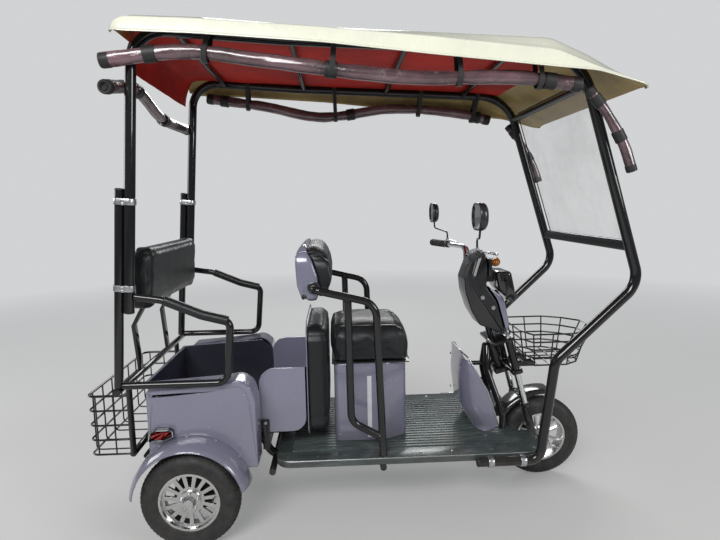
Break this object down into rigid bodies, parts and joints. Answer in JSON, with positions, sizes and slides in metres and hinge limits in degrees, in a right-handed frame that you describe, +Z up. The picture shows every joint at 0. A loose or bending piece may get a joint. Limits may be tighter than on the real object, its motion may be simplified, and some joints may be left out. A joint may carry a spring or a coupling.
{
  "type": "electric passenger tricycle with a roof",
  "caption": "Open electric passenger tricycle with a moulded roof on bent hoops, a steered front wheel, a driver's saddle, a tipping rear bench and a load tub.",
  "frame": {"origin": "middle of the footprint, on the ground", "axes": "+X forward in driving direction, +Y to the left, +Z up"},
  "size_m": [2.109, 1, 1.8919],
  "materials": {
    "tube_black": "gloss black enamel",
    "roof_cream": "pale cream moulding, satin gloss",
    "body_lilac": "lilac grey moulding, high gloss",
    "trim_black": "black moulding, satin gloss",
    "deck_green": "dark grey green ribbed sheet, worn",
    "seat_black": "black seat cover, soft sheen",
    "shell_black": "black moulding, fine grain",
    "chrome": "polished",
    "wheel_silver": "silver painted alloy",
    "tyre_black": "black rubber",
    "clear_sheet": "clear sheet",
    "curtain_purple": "rolled brown purple sheet with a soft sheen",
    "strap_black": "woven strap",
    "lamp_black": "dark lamp housing",
    "grip_rubber": "moulded rubber",
    "axle_iron": "black painted castings",
    "clamp_silver": "plated steel"
  },
  "bodies": {
    "chassis": {"chassis_frame": "tube_black", "floor_deck": "deck_green", "drive_axle": "axle_iron", "leaf_springs": "axle_iron", "rear_tub": "trim_black", "side_panels": "body_lilac", "rear_fenders": "body_lilac", "tail_lamps": "lamp_black", "rear_rack": "tube_black", "lower_posts": "tube_black", "tube_clamps": "clamp_silver", "roof_hoops": "tube_black", "roof_crossbars": "tube_black", "roof_panel": "roof_cream", "windscreen": "clear_sheet", "armrests": "tube_black", "backrest_frame": "tube_black", "rear_backrest": "seat_black", "driver_guards": "tube_black", "driver_backrest_shell": "body_lilac", "driver_backrest_pad": "seat_black", "seat_box": "body_lilac", "battery_pack": "shell_black", "leg_shield": "body_lilac", "rolled_curtains": "curtain_purple", "curtain_straps": "strap_black"},
    "bench": {"bench_shell": "body_lilac", "bench_cushion": "seat_black"},
    "seat_lid": {"seat_lid": "shell_black", "driver_cushion": "seat_black"},
    "steering": {"fork": "tube_black", "front_fender": "trim_black", "handlebar": "chrome", "hand_controls": "grip_rubber", "mirrors": "trim_black", "steering_cowl": "trim_black", "cowl_trim": "body_lilac", "front_lamps": "lamp_black", "front_basket": "tube_black"},
    "front_wheel": {"front_tyre": "tyre_black", "front_rim": "wheel_silver"},
    "rear_wheel_right": {"rear_tyre_right": "tyre_black", "rear_rim_right": "wheel_silver"},
    "rear_wheel_left": {"rear_tyre_left": "tyre_black", "rear_rim_left": "wheel_silver"}
  },
  "joints": [
    {"name": "steering_turn", "type": "hinge", "parent": "chassis", "child": "steering", "pos_m": [0.64348, 0, 0.525], "axis": [-0.2588, 0, 0.9659], "range_deg": [-35, 35]},
    {"name": "front_wheel_roll", "type": "hinge", "parent": "steering", "child": "front_wheel", "pos_m": [0.83948, 0, 0.185], "axis": [0, 1, 0], "continuous": true},
    {"name": "rear_wheel_right_roll", "type": "hinge", "parent": "chassis", "child": "rear_wheel_right", "pos_m": [-0.64152, -0.416, 0.185], "axis": [0, 1, 0], "continuous": true},
    {"name": "rear_wheel_left_roll", "type": "hinge", "parent": "chassis", "child": "rear_wheel_left", "pos_m": [-0.64152, 0.416, 0.185], "axis": [0, 1, 0], "continuous": true},
    {"name": "bench_tip", "type": "hinge", "parent": "chassis", "child": "bench", "pos_m": [-0.37952, 0, 0.395], "axis": [0, -1, 0], "range_deg": [0, 90]},
    {"name": "seat_lid_open", "type": "hinge", "parent": "chassis", "child": "seat_lid", "pos_m": [0.21448, 0, 0.602], "axis": [0, 1, 0], "range_deg": [0, 75]}
  ]
}
